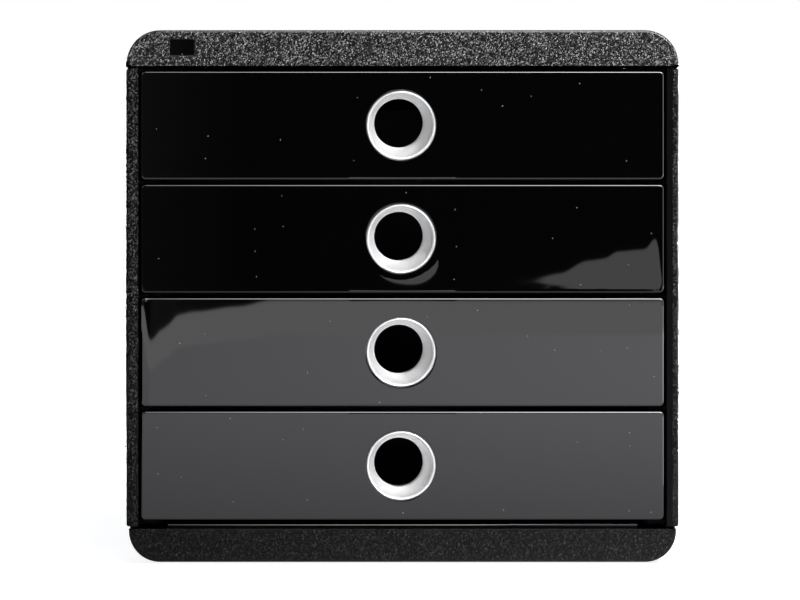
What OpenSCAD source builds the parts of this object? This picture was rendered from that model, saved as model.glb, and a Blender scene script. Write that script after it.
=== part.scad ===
// Desk filing box with four drawers for A4+ sheets.
// Millimetres. X to the right, Y to the back, Z up; the drawers open towards -Y.
// The origin is on the desk, under the middle of the box. Drawer 1 is the top one, drawer 4 the lowest.

/* [Housing] */
// Width over the two side panels
box_w = 278; // [262:1:320]
// Depth from the front edges to the back edges
box_d = 347; // [320:1:420]
// Wall of the moulded top cover and base
shell_t = 2.5; // [1.8:0.1:3]
// Rounding of the cover's and base's front and back edges
shell_edge_r = 1.2; // [0.5:0.1:1.6]
// Play between moulded pieces that slot together
slot_clear = 0.3; // [0.1:0.05:0.5]

/* [Top cover] */
// Height of the top cover
cap_h = 18; // [17.5:0.1:30]
// Radius of the top cover's upper corners, seen from the front
cap_corner_r = 17; // [8:0.5:17]
// Width of the bare badge recess
badge_w = 12.9; // [8:0.1:20]
// Height of the badge recess
badge_h = 8.8; // [5:0.1:10]
// Depth of the badge recess
badge_d = 0.6; // [0.2:0.1:1]
// From the cover's left edge to the badge recess
badge_in = 21.6; // [18:0.1:60]
// From the cover's top to the badge recess
badge_down = 4.3; // [2:0.1:6]

/* [Base] */
// Height of the base
base_h = 16.7; // [16:0.1:30]
// Radius of the base's lower corners, seen from the front
base_corner_r = 15.6; // [8:0.1:15.6]
// How far the base lies inside the line of the side panels
base_inset = 1.1; // [0:0.1:1.2]
// Height of the lip on the inner half of the base's front wall
lip_h = 2.4; // [1:0.1:3]
// Thickness of that lip
lip_t = 1.2; // [0.8:0.1:1.6]
// From the side panels' inner edges to the ends of the lip
lip_end = 15; // [6:1:60]

/* [Stiffening ribs] */
// Thickness of the ribs in the top cover and base
rib_t = 1.6; // [1:0.1:2.4]
// Height of those ribs
rib_h = 5; // [3:0.5:7]
// Spacing of the cross ribs
rib_pitch = 52; // [30:1:80]

/* [Side panels] */
// Wall of a side panel
side_t = 3.2; // [2.6:0.1:3.8]
// Width of a side panel's front edge
side_edge = 5.8; // [5:0.1:8]
// Flat outer part of that edge, before the bevel
side_flat = 2.9; // [2.8:0.1:4]
// How far back the bevel runs
bevel_d = 2.2; // [2:0.1:8]
// Depth of the thick border behind the front and back edges
border_d = 12; // [11:0.5:18]
// Rounding of a side panel's outer edges
side_edge_r = 1.2; // [0.5:0.1:1.4]
// Height of the shadow groove above and below a side panel
groove_h = 1.4; // [0.8:0.1:2]
// Depth of that groove
groove_d = 1.4; // [0.8:0.1:2]
// Length of the tabs that locate the cover and base on a side panel
tab_l = 26; // [15:1:40]
// Thickness of those tabs
tab_t = 2.4; // [1.6:0.1:3]
// How far the tabs reach into the cover and base
tab_h = 5.5; // [3:0.5:6]
// From the panel's inner edge back to the tabs, towards the middle of the box
tab_in = 1.6; // [1:0.1:3]
// From the ends of the panel to the middle of the outer tabs
tab_end = 55; // [40:1:80]

/* [Runner ledges] */
// Width of a ledge, from a side panel's inner edge
ledge_w = 11.3; // [8:0.1:14]
// Thickness of a ledge
ledge_t = 2; // [1.5:0.1:2.2]
// From the front edges of the box back to the ledges
ledge_back = 10.4; // [10:0.1:11.8]
// How far the ledges lie under the drawer fronts
ledge_drop = 0.6; // [0.3:0.1:1]

/* [Back panel] */
// Thickness of the back panel
back_t = 2.4; // [1.8:0.1:3]
// How far the back panel's tongues reach into the cover and base
back_tongue = 6; // [3:0.5:7]
// From the box's sides to the ends of those tongues
back_tongue_in = 24; // [20:1:50]
// Width of the pads that stop the drawers
pad_w = 14; // [8:1:30]
// Thickness of those pads
pad_t = 2; // [1:0.1:2.4]
// From the middle of the box to the pads
pad_x = 75; // [40:1:105]

/* [Drawer fronts] */
// Height of a drawer front
front_h = 54.5; // [46:0.5:90]
// Gap between two drawer fronts
front_gap = 2.6; // [2.6:0.1:5]
// Gap beside a drawer front
front_side_gap = 1.45; // [0.8:0.05:2]
// Gap between the lowest front and the base
base_gap = 4.7; // [4:0.1:12]
// Gap between the highest front and the top cover
cap_gap = 2.8; // [2:0.1:6]
// Wall behind the glossy face
front_t = 2.5; // [2:0.1:3.2]
// Depth of a drawer front from its face to its rear edge
front_d = 8.6; // [7.5:0.1:8.8]
// Wall of a drawer front's edges
front_skirt_t = 2; // [1.4:0.1:3]
// Corner radius of a drawer front
front_corner_r = 2.2; // [1.2:0.1:6]
// Rounding where the face meets the edges
front_edge_r = 0.5; // [0.3:0.1:1.1]
// How far the faces lie behind the box's front edges
front_recess = 0.8; // [0.7:0.1:1.5]
// Diameter of the posts that fix a front to its tray
post_d = 5; // [3:0.5:6]
// Diameter of a post's staked head
post_head_d = 7.4; // [7:0.1:10]
// Thickness of that head
post_head_t = 1; // [0.6:0.1:1.5]
// From a front's sides to its posts
post_in = 34; // [20:1:60]
// From a front's upper and lower edges to its posts
post_edge = 15; // [12:0.5:20]

/* [Finger rings] */
// Diameter over a ring's lip
ring_d = 34.2; // [30:0.1:40]
// The rings lie this far left of the fronts' middle
ring_left = 0.7; // [0:0.1:10]
// Width of the lip
ring_lip = 0.6; // [0.4:0.1:1.5]
// How far the lip stands out of the front
ring_proud = 0.6; // [0.2:0.1:0.65]
// Diameter of the finger hole
ring_hole_d = 25.2; // [20:0.1:25.5]
// Depth of the funnel from the lip to the finger hole
funnel_d = 9; // [6:0.1:9.1]
// How far the funnel's wall is hollowed
funnel_bulge = 0.7; // [0:0.1:0.9]
// The finger hole lies this far left of the ring's middle
hole_left = 1.1; // [0:0.1:1.6]
// The finger hole lies this far above the ring's middle
hole_up = 1.3; // [0:0.1:1.7]
// Diameter of the ring's neck, which goes through the tray's front wall
ring_neck_d = 31.4; // [31.4:0.1:33]
// Diameter of the collar behind the front's wall
ring_collar_d = 38; // [36:0.1:44]
// Thickness of that collar
ring_collar_t = 1.6; // [1:0.1:3]
// Play round a ring
ring_clear = 0.45; // [0.15:0.05:0.5]

/* [Drawer trays] */
// Height of a tray
tray_h = 53.4; // [35:0.1:53.6]
// Side, front and back walls of a tray
tray_t = 2; // [1.4:0.1:2.6]
// Floor of a tray
tray_floor = 2; // [1.4:0.1:3]
// Play between a tray's rim and a side panel's inner edge
tray_side_clear = 1.2; // [0.5:0.1:1.6]
// How far the rim bead stands out of the wall
bead_w = 0.8; // [0.4:0.1:1.2]
// Height of the rim bead
bead_h = 2.4; // [1.5:0.1:4]
// Draft of the tray's sides and back
tray_draft = 1; // [0.3:0.1:1.5]
// Corner radius of a tray, from above
tray_corner_r = 6; // [5:0.5:12]
// Rounding of the tray's lower edges
tray_bottom_r = 2.6; // [1:0.1:3]
// Height of the low ribs that a stack of sheets lies on
floor_rib_h = 0.8; // [0.4:0.1:1.5]
// Width of those ribs
floor_rib_w = 2.4; // [1.5:0.1:4]
// Spacing of those ribs
floor_rib_pitch = 40; // [25:1:60]
// Drawer travel from closed to its stop
travel = 250; // [150:1:260]
// How far a stop lug reaches behind a side panel's border
lug_catch = 1.2; // [0.8:0.1:1.4]
// Length of a stop lug
lug_l = 9; // [5:0.5:15]
// Height of a stop lug
lug_h = 12; // [6:0.5:18]
// Play at both ends of a drawer's travel
travel_clear = 0.5; // [0.3:0.1:1]

/* [Feet] */
// Diameter of a rubber foot
foot_d = 16; // [10:0.5:20]
// How far a foot stands out of the base
foot_h = 1; // [0.5:0.1:3]
// Depth of a foot's seat in the base
foot_seat = 1; // [0.5:0.1:1.2]
// From the base's sides, front and back to the feet's middle
foot_in = 28; // [27:1:60]

/* [Hidden] */

DRAWERS = 4;
CORNER_STEPS = 8;   // straight pieces in a quarter round
SMALL_STEPS = 4;    // the same, in a round under SMALL_R
SMALL_R = 3;
EDGE_STEPS = 4;     // slices in a rounded edge
SLICE = 0.01;       // thickness of a slice in a hull
FUNNEL_STEPS = 5;   // slices in a ring's funnel
FUNNEL_LAP = 0.1;   // how far the funnel ends inside the finger hole's edge
OVER = 1;           // how far a cutting tool passes the face it cuts
$fn = 96;

front_y = -box_d / 2;
back_y = box_d / 2;
side_x = box_w / 2;
inner_x = side_x - side_edge;
skin_x = side_x - side_t;
front_pitch = front_h + front_gap;
base_top_z = foot_h + base_h;
low_front_z = base_top_z + base_gap;
cap_z = low_front_z + DRAWERS * front_pitch - front_gap + cap_gap;
low_ledge_z = low_front_z - ledge_drop;
front_w = 2 * (inner_x - front_side_gap);
face_y = front_y + front_recess;
tray_y = face_y + front_d;
panel_y = back_y - base_inset - shell_t - slot_clear - back_t;
tray_end_y = panel_y - pad_t - travel_clear;
tray_x = inner_x - tray_side_clear - bead_w;
lug_y = front_y + border_d + travel_clear + travel;
ring_y = face_y - ring_proud;
base_w = box_w - 2 * base_inset;
base_d = box_d - 2 * base_inset;

// Bottom of drawer n's front and top of its runner ledges
function front_z(n) = low_front_z + (DRAWERS - n) * front_pitch;
function ledge_z(n) = low_ledge_z + (DRAWERS - n) * front_pitch;

// Points along an arc of radius r about (cx, cy)
function arc(cx, cy, r, from, to) =
    let (steps = r < SMALL_R ? SMALL_STEPS : CORNER_STEPS)
    [for (i = [0 : steps]) let (a = from + (to - from) * i / steps) [cx + r * cos(a), cy + r * sin(a)]];

// Rectangle from (x0, y0) to (x1, y1) with round corners
function round_rect(x0, y0, x1, y1, r) = concat(
    arc(x1 - r, y0 + r, r, -90, 0),
    arc(x1 - r, y1 - r, r, 0, 90),
    arc(x0 + r, y1 - r, r, 90, 180),
    arc(x0 + r, y0 + r, r, 180, 270)
);

// Quarter round of radius r in EDGE_STEPS: how deep step i lies, and how far it is drawn in there
function round_depth(r, i) = r * (1 - sin(90 * i / EDGE_STEPS));
function round_inset(r, i) = r * (1 - cos(90 * i / EDGE_STEPS));

// Stands a drawing of X and Z upright and gives it thickness t backwards from y
module upright(y, t) {
    translate([0, y + t, 0])
        rotate([90, 0, 0])
            linear_extrude(t)
                children();
}

// ---------------------------------------------------------------- top cover and base

// Outline of a shell from the front: flat below, round upper corners, drawn in by inset
function shell_outline(w, h, r, inset, low) = concat(
    [[w / 2 - inset, low]],
    arc(w / 2 - r, h - r, r - inset, 0, 90),
    arc(-w / 2 + r, h - r, r - inset, 90, 180),
    [[-w / 2 + inset, low]]
);

// Outside of the shell, with rounded front and back edges
module shell_outside(w, h, d, r) {
    hull() {
        for (i = [0 : EDGE_STEPS]) {
            upright(-d / 2 + round_depth(shell_edge_r, i), SLICE)
                polygon(shell_outline(w, h, r, round_inset(shell_edge_r, i), 0));
            upright(d / 2 - round_depth(shell_edge_r, i) - SLICE, SLICE)
                polygon(shell_outline(w, h, r, round_inset(shell_edge_r, i), 0));
        }
    }
}

// Ribs under the shell's roof and the pockets that take the side panels' tabs
module shell_ribs(w, h, d, r) {
    roof = h - shell_t;
    rib_x = w / 2 - r;
    rows = floor((d / 2 - shell_t - rib_t) / rib_pitch);
    tab_face = inner_x - tab_in - slot_clear;
    intersection() {
        upright(-d / 2 + shell_t / 2, d - shell_t)
            polygon(shell_outline(w, h, r, shell_t / 2, 0));
        union() {
            for (i = [-rows : rows])
                translate([-rib_x, i * rib_pitch - rib_t / 2, roof - rib_h])
                    cube([2 * rib_x, rib_t, rib_h + shell_t]);
            for (side = [-1, 1])
                translate([side * rib_x / 2 - rib_t / 2, -d / 2 + shell_t / 2, roof - rib_h])
                    cube([rib_t, d - shell_t, rib_h + shell_t]);
            for (side = [-1, 1], y = tab_rows)
                translate([side * (tab_face - rib_t / 2) - rib_t / 2, y - tab_l / 2, OVER])
                    cube([rib_t, tab_l, h]);
        }
    }
}

// A moulded cover, open below
module shell(w, h, d, r) {
    difference() {
        shell_outside(w, h, d, r);
        upright(-d / 2 + shell_t, d - 2 * shell_t)
            polygon(shell_outline(w, h, r, shell_t, -OVER));
    }
    shell_ribs(w, h, d, r);
}

module top_cover() {
    badge_x = -side_x + badge_in;
    badge_z = cap_h - badge_down - badge_h;
    color("dimgray")
        translate([0, 0, cap_z])
            difference() {
                shell(box_w, cap_h, box_d, cap_corner_r);
                translate([badge_x, front_y - OVER, badge_z])
                    cube([badge_w, badge_d + OVER, badge_h]);
            }
}

module base_cover() {
    color("dimgray")
        difference() {
            union() {
                translate([0, 0, base_top_z])
                    mirror([0, 0, 1])
                        shell(base_w, base_h, base_d, base_corner_r);
                base_lip();
            }
            for (side = [-1, 1], end = [-1, 1])
                translate([side * foot_x, end * foot_y, foot_h - OVER])
                    cylinder(d = foot_d + 2 * slot_clear, h = foot_seat + OVER);
        }
}

// The lip that closes the view under the lowest front, rooted in the base's front wall
module base_lip() {
    half = inner_x - lip_end;
    translate([-half, -base_d / 2 + shell_t - lip_t, base_top_z - shell_t])
        cube([2 * half, lip_t, shell_t + lip_h]);
}

// ---------------------------------------------------------------- side panels

tab_rows = [front_y + tab_end, 0, back_y - tab_end];
tab_x = inner_x - tab_in;

// Plan of the right side panel, drawn in by inset on its outer, front and back faces
function side_plan(inset) =
    let (bevel_slope = (side_edge - side_flat) / bevel_d)
    concat(
        arc(side_x - side_edge_r - inset, front_y + side_edge_r + inset, side_edge_r, 0, -90),
        [
            [side_x - side_flat - inset * bevel_slope, front_y + inset],
            [inner_x, front_y + bevel_d],
            [inner_x, front_y + border_d],
            [skin_x, front_y + border_d],
            [skin_x, back_y - border_d],
            [inner_x, back_y - border_d],
            [inner_x, panel_y - slot_clear],
            [skin_x, panel_y - slot_clear],
            [skin_x, panel_y + back_t + slot_clear],
            [inner_x, panel_y + back_t + slot_clear],
            [inner_x, back_y - inset]
        ],
        arc(side_x - side_edge_r - inset, back_y - side_edge_r - inset, side_edge_r, 90, 0)
    );

// What rounds off the long outer edge of a side panel, for the edge at its top
module side_edge_cutter() {
    difference() {
        translate([-side_edge_r, -side_edge_r])
            square(side_edge_r + OVER);
        translate([-side_edge_r, -side_edge_r])
            circle(side_edge_r);
    }
}

module side_panel() {
    low = base_top_z + groove_h;
    high = cap_z - groove_h;
    difference() {
        translate([0, 0, low])
            linear_extrude(high - low)
                polygon(side_plan(0));
        upright(front_y - OVER, box_d + 2 * OVER)
            translate([side_x, high])
                side_edge_cutter();
        upright(front_y - OVER, box_d + 2 * OVER)
            translate([side_x, low])
                mirror([0, 1])
                    side_edge_cutter();
    }
    translate([0, 0, base_top_z])
        linear_extrude(cap_z - base_top_z)
            polygon(side_plan(groove_d));
    // Runner ledges, one under each drawer and one that keeps the top drawer from tipping
    for (n = [0 : DRAWERS])
        ledge(ledge_z(n));
    for (y = tab_rows) {
        side_tab(y, ledge_z(0) - ledge_t, cap_z + tab_h);
        side_tab(y, base_top_z - tab_h, ledge_z(DRAWERS));
    }
}

// A ledge with its top at z and a sloped lead-in at its front end
module ledge(z) {
    ledge_y = front_y + ledge_back;
    translate([0, 0, z - ledge_t])
        linear_extrude(ledge_t)
            polygon([
                [inner_x - ledge_w + ledge_t, ledge_y],
                [skin_x + side_t / 4, ledge_y],
                [skin_x + side_t / 4, panel_y - slot_clear],
                [inner_x - ledge_w, panel_y - slot_clear],
                [inner_x - ledge_w, ledge_y + ledge_t]
            ]);
}

module side_tab(y, low, high) {
    translate([tab_x, y - tab_l / 2, low])
        cube([tab_t, tab_l, high - low]);
}

module side_panel_right() {
    color("dimgray")
        side_panel();
}

module side_panel_left() {
    color("dimgray")
        mirror([1, 0, 0])
            side_panel();
}

// ---------------------------------------------------------------- back panel

module back_panel() {
    reach = skin_x - slot_clear;
    tongue = side_x - back_tongue_in;
    color("dimgray") {
        translate([-reach, panel_y, base_top_z])
            cube([2 * reach, back_t, cap_z - base_top_z]);
        translate([-tongue, panel_y, base_top_z - back_tongue])
            cube([2 * tongue, back_t, cap_z - base_top_z + 2 * back_tongue]);
        for (n = [1 : DRAWERS], side = [-1, 1])
            translate([side * pad_x - pad_w / 2, panel_y - pad_t, ledge_z(n) + tray_h / 4])
                cube([pad_w, pad_t + back_t / 2, tray_h / 2]);
    }
}

// ---------------------------------------------------------------- feet

foot_x = base_w / 2 - foot_in;
foot_y = base_d / 2 - foot_in;

// A rubber pad, with its lower edge rounded, seated in the base
module foot(side, end) {
    edge = foot_h / 2;
    color("black")
        translate([side * foot_x, end * foot_y, 0])
            rotate_extrude()
                polygon(concat(
                    [[0, 0]],
                    arc(foot_d / 2 - edge, edge, edge, -90, 0),
                    [[foot_d / 2, foot_h + foot_seat], [0, foot_h + foot_seat]]
                ));
}

// ---------------------------------------------------------------- drawer fronts

// Outside of a drawer front, standing on z = 0, with its face's edges rounded
module front_outside() {
    half = front_w / 2;
    hull() {
        for (i = [0 : EDGE_STEPS]) {
            in = round_inset(front_edge_r, i);
            upright(face_y + round_depth(front_edge_r, i), SLICE)
                polygon(round_rect(-half + in, in, half - in, front_h - in, front_corner_r - in));
        }
    }
    upright(face_y + front_edge_r, front_d - front_edge_r)
        polygon(round_rect(-half, 0, half, front_h, front_corner_r));
}

// The glossy front of drawer n: a rounded shell with posts that are staked through the tray
module drawer_front(n) {
    color("black")
        translate([0, 0, front_z(n)]) {
            difference() {
                front_outside();
                translate([-front_w / 2 + front_skirt_t, face_y + front_t, front_skirt_t])
                    cube([front_w - 2 * front_skirt_t, front_d, front_h - 2 * front_skirt_t]);
                ring_bore(face_y - OVER, front_t + 2 * OVER, ring_d + 2 * ring_clear);
            }
            front_posts(0);
        }
}

// A hole of diameter d about a ring's axis, from y over length l
module ring_bore(y, l, d) {
    translate([-ring_left, y, front_h / 2])
        rotate([-90, 0, 0])
            cylinder(d = d, h = l);
}

// The posts with their heads; grown by clear, without heads, they are the holes in the tray
module front_posts(clear) {
    post_y = face_y + front_t / 2;
    wall_end = tray_y + tray_t;
    for (side = [-1, 1], z = [post_edge, front_h - post_edge])
        translate([side * (front_w / 2 - post_in), 0, z])
            rotate([-90, 0, 0]) {
                translate([0, 0, post_y])
                    cylinder(d = post_d + 2 * clear, h = wall_end - post_y + (clear > 0 ? OVER : 0));
                if (clear == 0)
                    translate([0, 0, wall_end])
                        cylinder(d1 = post_head_d, d2 = post_d, h = post_head_t);
            }
}

// ---------------------------------------------------------------- finger rings

// Radius of the funnel's wall, from the lip at share 0 to just inside the finger hole at share 1
function funnel_r(share) =
    let (lip_r = ring_d / 2 - ring_lip, end_r = ring_hole_d / 2 - FUNNEL_LAP)
    lip_r + (end_r - lip_r) * share + funnel_bulge * sin(180 * share);

// What is cut out of a ring: a hollowed funnel that leans up and to the left, down to the finger hole
module funnel_cutter() {
    hull() {
        for (i = [0 : FUNNEL_STEPS]) {
            share = i / FUNNEL_STEPS;
            translate([-hole_left * share, -hole_up * share, funnel_d * share - SLICE])
                cylinder(r = funnel_r(share), h = SLICE, $fn = 48);
        }
    }
    translate([0, 0, -OVER])
        cylinder(r = funnel_r(0), h = OVER);
}

// The ring of drawer n, held between the front's wall and the tray's front wall
module finger_ring(n) {
    body_l = tray_y - ring_y;
    neck_l = body_l + tray_t + ring_proud;
    collar = ring_proud + front_t;
    color("silver")
        translate([-ring_left, ring_y, front_z(n) + front_h / 2])
            rotate([-90, 0, 0])
                difference() {
                    union() {
                        cylinder(d = ring_d, h = body_l);
                        cylinder(d = ring_neck_d, h = neck_l);
                        translate([0, 0, collar])
                            cylinder(d = ring_collar_d, h = ring_collar_t);
                    }
                    funnel_cutter();
                    translate([-hole_left, -hole_up, funnel_d / 2])
                        cylinder(d = ring_hole_d, h = neck_l);
                }
}

// ---------------------------------------------------------------- drawer trays

// Plan of a tray, drawn in by side and back, and by front at its front
function tray_plan(side, front, back, r) =
    round_rect(-tray_x + side, tray_y + front, tray_x - side, tray_end_y - back, r);

// Outside or inside of a tray: drafted walls, drawn in by wall, from height low up to high
module tray_form(wall, low, high) {
    bottom_r = tray_bottom_r - (wall > 0 ? wall / 2 : 0);
    corner_r = tray_corner_r - wall;
    hull() {
        for (i = [0 : EDGE_STEPS]) {
            in = round_inset(bottom_r, i);
            translate([0, 0, low + round_depth(bottom_r, i)])
                linear_extrude(SLICE)
                    polygon(tray_plan(wall + tray_draft + in, wall + in, wall + tray_draft + in, corner_r));
        }
        translate([0, 0, high - SLICE])
            linear_extrude(SLICE)
                polygon(tray_plan(wall, wall, wall, corner_r));
    }
}

// A lug that meets the side panel's border when the drawer is open, with its ramp at the back
module stop_lug() {
    root = tray_x - tray_t / 2 - tray_draft;
    linear_extrude(lug_h)
        polygon([
            [root, lug_y],
            [inner_x + lug_catch, lug_y],
            [inner_x + lug_catch, lug_y + lug_l / 3],
            [root, lug_y + lug_l]
        ]);
}

module drawer_tray(n) {
    ribs = floor((tray_x - tray_corner_r - tray_draft) / floor_rib_pitch);
    rib_y = tray_y + tray_corner_r + tray_t;
    color("black")
        translate([0, 0, ledge_z(n)]) {
            difference() {
                union() {
                    tray_form(0, 0, tray_h);
                    translate([0, 0, tray_h - bead_h])
                        linear_extrude(bead_h)
                            polygon(tray_plan(-bead_w, 0, 0, tray_corner_r));
                }
                tray_form(tray_t, tray_floor, tray_h + OVER);
                translate([0, 0, ledge_drop]) {
                    ring_bore(tray_y - OVER, tray_t + 2 * OVER, ring_neck_d + 2 * ring_clear);
                    front_posts(slot_clear);
                }
            }
            for (i = [-ribs : ribs])
                translate([i * floor_rib_pitch - floor_rib_w / 2, rib_y, tray_floor / 2])
                    cube([floor_rib_w, tray_end_y - rib_y - tray_corner_r - tray_t, tray_floor / 2 + floor_rib_h]);
            for (side = [0, 1])
                mirror([side, 0, 0])
                    translate([0, 0, (tray_h - lug_h) / 2])
                        stop_lug();
        }
}

top_cover();
base_cover();
side_panel_left();
side_panel_right();
back_panel();
foot(-1, -1);  // foot_front_left
foot(1, -1);  // foot_front_right
foot(-1, 1);  // foot_back_left
foot(1, 1);  // foot_back_right
drawer_tray(1);  // drawer_tray_1
drawer_tray(2);  // drawer_tray_2
drawer_tray(3);  // drawer_tray_3
drawer_tray(4);  // drawer_tray_4
drawer_front(1);  // drawer_front_1
drawer_front(2);  // drawer_front_2
drawer_front(3);  // drawer_front_3
drawer_front(4);  // drawer_front_4
finger_ring(1);  // finger_ring_1
finger_ring(2);  // finger_ring_2
finger_ring(3);  // finger_ring_3
finger_ring(4);  // finger_ring_4
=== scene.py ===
"""Desk filing box with four drawers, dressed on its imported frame. Metres, Z up; the drawers open towards -Y."""
import math

import bmesh
import bpy
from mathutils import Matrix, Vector


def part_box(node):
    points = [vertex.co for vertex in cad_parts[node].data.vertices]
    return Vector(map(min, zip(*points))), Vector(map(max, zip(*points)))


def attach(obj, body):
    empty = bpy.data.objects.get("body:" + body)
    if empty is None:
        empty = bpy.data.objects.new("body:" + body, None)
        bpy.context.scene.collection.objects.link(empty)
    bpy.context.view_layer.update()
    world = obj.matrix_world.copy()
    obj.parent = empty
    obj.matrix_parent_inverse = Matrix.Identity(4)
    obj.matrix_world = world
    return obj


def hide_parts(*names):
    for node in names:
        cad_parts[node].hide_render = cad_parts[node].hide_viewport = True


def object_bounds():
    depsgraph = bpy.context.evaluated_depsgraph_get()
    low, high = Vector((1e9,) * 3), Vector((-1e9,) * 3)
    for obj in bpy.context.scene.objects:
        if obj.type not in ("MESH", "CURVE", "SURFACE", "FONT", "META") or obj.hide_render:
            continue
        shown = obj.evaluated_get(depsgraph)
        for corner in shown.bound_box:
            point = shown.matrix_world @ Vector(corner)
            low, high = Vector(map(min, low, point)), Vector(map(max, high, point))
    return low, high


bl_info = {
    "name": "Desk filing box",
    "version": (1, 0, 0),
    "blender": (4, 5, 0),
    "location": "View3D > Sidebar > Filing box",
    "description": "Grained housing, glossy drawer fronts, silver finger rings and trays of a desk filing box",
    "category": "Add Mesh",
}

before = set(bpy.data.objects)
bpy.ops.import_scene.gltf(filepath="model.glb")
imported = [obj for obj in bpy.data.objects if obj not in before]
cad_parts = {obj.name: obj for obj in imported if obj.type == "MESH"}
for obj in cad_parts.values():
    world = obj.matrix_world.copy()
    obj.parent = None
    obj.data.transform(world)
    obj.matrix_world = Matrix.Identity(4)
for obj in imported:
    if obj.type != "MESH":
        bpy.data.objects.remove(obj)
CAD_BOX = [list(corner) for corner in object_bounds()]

MM = 0.001
DRAWERS = (1, 2, 3, 4)
PHOTO_W = 800
PHOTO_H = 600

BOX_LOW, BOX_HIGH = (Vector(corner) for corner in CAD_BOX)
COVER_LOW, COVER_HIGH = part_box("top_cover")
BASE_LOW, BASE_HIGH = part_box("base_cover")


def length(name, description, default):
    """A size that a user may change, in metres."""
    return bpy.props.FloatProperty(name=name, description=description, default=default, unit="LENGTH", precision=4)


def colour(name, description, default):
    """A colour that a user may change."""
    return bpy.props.FloatVectorProperty(
        name=name, description=description, default=default, subtype="COLOR", size=3, min=0, max=1
    )


def amount(name, description, default):
    """A plain number that a user may change."""
    return bpy.props.FloatProperty(name=name, description=description, default=default)


class FilingHousingSettings(bpy.types.PropertyGroup):
    """Sizes and colour of the cover, base and panels."""

    wall: length("Wall", "Wall of the cover and base", 2.5 * MM)
    edge_round: length("Edge round", "Rounding of the front and back edges", 1.6 * MM)
    cover_corner: length("Cover corner", "Radius of the cover's upper corners", 17 * MM)
    base_corner: length("Base corner", "Radius of the base's lower corners", 15.6 * MM)
    rib: length("Rib", "Thickness of the stiffening ribs", 1.6 * MM)
    rib_height: length("Rib height", "Height of the stiffening ribs", 5 * MM)
    rib_pitch: length("Rib pitch", "Spacing of the cross ribs", 52 * MM)
    moulded_edge: length("Moulded edge", "Rounding of the small edges", 0.25 * MM)
    panel_edge: length("Panel edge", "Width of a side panel's front edge", 5.8 * MM)
    panel_flat: length("Panel flat", "Width of the flat part of a side panel's front edge", 2.9 * MM)
    gap: length("Gap", "Height of the shadow gaps over and under the side panels", 1.4 * MM)
    gap_depth: length("Gap depth", "Depth of the shadow gaps at the front", 6 * MM)
    lip_height: length("Lip height", "How far the lip behind the base's front edge stands up", 2.4 * MM)
    lip_wall: length("Lip wall", "Wall of the base's lip", 1.2 * MM)
    lip_round: length("Lip round", "Rounding of the lip's crest", 0.7 * MM)
    lip_half: length("Lip half", "From the middle to the lip's ends", 118.2 * MM)
    badge_width: length("Badge width", "Width of the bare badge recess", 12.9 * MM)
    badge_height: length("Badge height", "Height of the bare badge recess", 8.8 * MM)
    badge_depth: length("Badge depth", "Depth of the bare badge recess", 0.6 * MM)
    badge_in: length("Badge in", "From the cover's left edge to the recess", 21.6 * MM)
    badge_down: length("Badge down", "From the cover's top to the recess", 4.3 * MM)
    grain: length("Grain", "Size of the moulded grain", 0.55 * MM)
    cover_tilt: amount("Cover tilt", "How far the cover's grains lean", 1.0)
    cover_shine: amount("Cover shine", "How strongly the cover shines", 0.10)
    # The cover's pale grains are painted glints
    cover_painted_glint: amount("Cover flecks", "How pale the cover's palest grains are", 0.17)
    cover_coat: amount("Cover coat", "How strongly the cover's smooth skin shines on its rounded edges", 0.18)
    panel_tilt: amount("Panel tilt", "How far the panels' grains lean", 1.2)
    panel_shine: amount("Panel shine", "How strongly the panels shine", 0.017)
    # The panels' pale grains are painted glints
    panel_painted_glint: amount("Panel flecks", "How pale the panels' palest grains are", 0.10)
    base_tilt: amount("Base tilt", "How far the base's grains lean", 1.6)
    base_shine: amount("Base shine", "How strongly the base shines", 0.05)
    # The base's pale grains are painted glints
    base_painted_glint: amount("Base flecks", "How pale the base's palest grains are", 0.04)
    # Paler ground colour near the foot: painted floor light
    foot_lit_tint: colour("Low colour", "Colour of the grained plastic near its foot", (0.0035, 0.0035, 0.0036))
    tint: colour("Housing colour", "Colour of the grained plastic", (0.0013, 0.0013, 0.0014))


class FilingFrontSettings(bpy.types.PropertyGroup):
    """Sizes and colour of the glossy drawer fronts."""

    wall: length("Wall", "Wall behind the glossy face", 2.5 * MM)
    skirt: length("Skirt", "Wall of a front's edges", 2 * MM)
    corner: length("Corner", "Corner radius of a front", 2.2 * MM)
    edge_round: length("Edge round", "Rounding between face and edges", 0.8 * MM)
    hole_round: length("Hole round", "Rounding of the edge round a finger ring", 0.28 * MM)
    depth: length("Depth", "Depth of a front from its face to its rear edge", 8.6 * MM)
    post: length("Post", "Diameter of a staked post's head", 7.4 * MM)
    post_in: length("Post in", "From a front's sides to its posts", 34 * MM)
    post_edge: length("Post edge", "From a front's upper and lower edges to its posts", 15 * MM)
    ring_gap: length("Ring gap", "Play round a finger ring", 0.45 * MM)
    # Drawer 2's front is a copy of the same polished plastic that shines less: painted shade on its reflection
    shaded_copy_shine: amount("Duller shine", "How strongly the second drawer's front shines", 0.32)
    tint: colour("Front colour", "Colour of the polished plastic", (0.0006, 0.0006, 0.0007))


class FilingRingSettings(bpy.types.PropertyGroup):
    """Sizes and colour of the finger rings."""

    outer: length("Ring", "Diameter over the lip", 34.2 * MM)
    lip: length("Lip", "Width of the lip", 0.5 * MM)
    proud: length("Proud", "How far the lip stands out of the front", 0.6 * MM)
    hole: length("Finger hole", "Diameter of the finger hole", 25.2 * MM)
    funnel: length("Funnel", "Depth of the funnel", 9 * MM)
    bulge: length("Hollow", "How far the funnel's wall is hollowed", 0.7 * MM)
    hole_left: length("Hole left", "The hole lies this far left of the ring's middle", 1.1 * MM)
    hole_up: length("Hole up", "The hole lies this far above the ring's middle", 1.3 * MM)
    neck: length("Neck", "Diameter of the ring's neck", 31.4 * MM)
    collar: length("Collar", "Diameter of the collar behind the front", 38 * MM)
    collar_wall: length("Collar wall", "Thickness of the collar", 1.6 * MM)
    tint: colour("Ring colour", "Colour of the satin silver coat", (0.61, 0.61, 0.615))


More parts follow.
